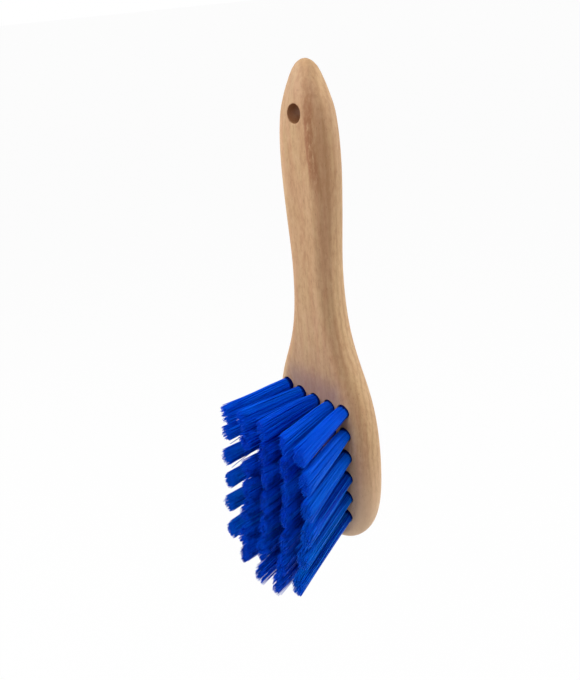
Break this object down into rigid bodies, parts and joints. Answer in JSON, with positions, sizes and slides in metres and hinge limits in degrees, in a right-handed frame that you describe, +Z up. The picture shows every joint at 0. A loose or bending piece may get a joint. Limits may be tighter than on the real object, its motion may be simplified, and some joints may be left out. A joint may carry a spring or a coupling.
{
  "type": "wheel brush",
  "caption": "Short-handled wooden wheel brush: paddle-shaped hardwood head and handle in one piece, with rows of blue bristle tufts in drilled holes and a hole to hang it by.",
  "frame": {"origin": "centre of the hanging hole, half way through the thickness of the handle", "axes": "+Z up along the handle towards its tip, +X across the brush, +Y out of the flat back; the bristles point along -Y"},
  "size_m": [0.0645, 0.0604, 0.2321],
  "materials": {
    "wood": "fine-sanded light hardwood with lengthwise grain, almost matt",
    "bristle": "royal blue synthetic filament, satin",
    "steel": "flat galvanised wire"
  },
  "bodies": {
    "root": {"anchor_row1_tuft1": "steel", "anchor_row1_tuft2": "steel", "anchor_row1_tuft3": "steel", "anchor_row1_tuft4": "steel", "anchor_row1_tuft5": "steel", "anchor_row2_tuft1": "steel", "anchor_row2_tuft2": "steel", "anchor_row2_tuft3": "steel", "anchor_row2_tuft4": "steel", "anchor_row2_tuft5": "steel", "anchor_row3_tuft1": "steel", "anchor_row3_tuft2": "steel", "anchor_row3_tuft3": "steel", "anchor_row3_tuft4": "steel", "anchor_row3_tuft5": "steel", "anchor_row4_tuft1": "steel", "anchor_row4_tuft2": "steel", "anchor_row4_tuft3": "steel", "anchor_row4_tuft4": "steel", "anchor_row4_tuft5": "steel", "anchor_row5_tuft1": "steel", "anchor_row5_tuft2": "steel", "anchor_row5_tuft3": "steel", "anchor_row5_tuft4": "steel", "anchor_row5_tuft5": "steel", "anchor_row6_tuft1": "steel", "anchor_row6_tuft2": "steel", "anchor_row6_tuft3": "steel", "anchor_row6_tuft4": "steel", "anchor_row6_tuft5": "steel", "anchor_row7_tuft2": "steel", "anchor_row7_tuft3": "steel", "anchor_row7_tuft4": "steel", "bristles_left": "bristle", "bristles_middle": "bristle", "bristles_right": "bristle", "wood_block": "wood"}
  },
  "joints": []
}
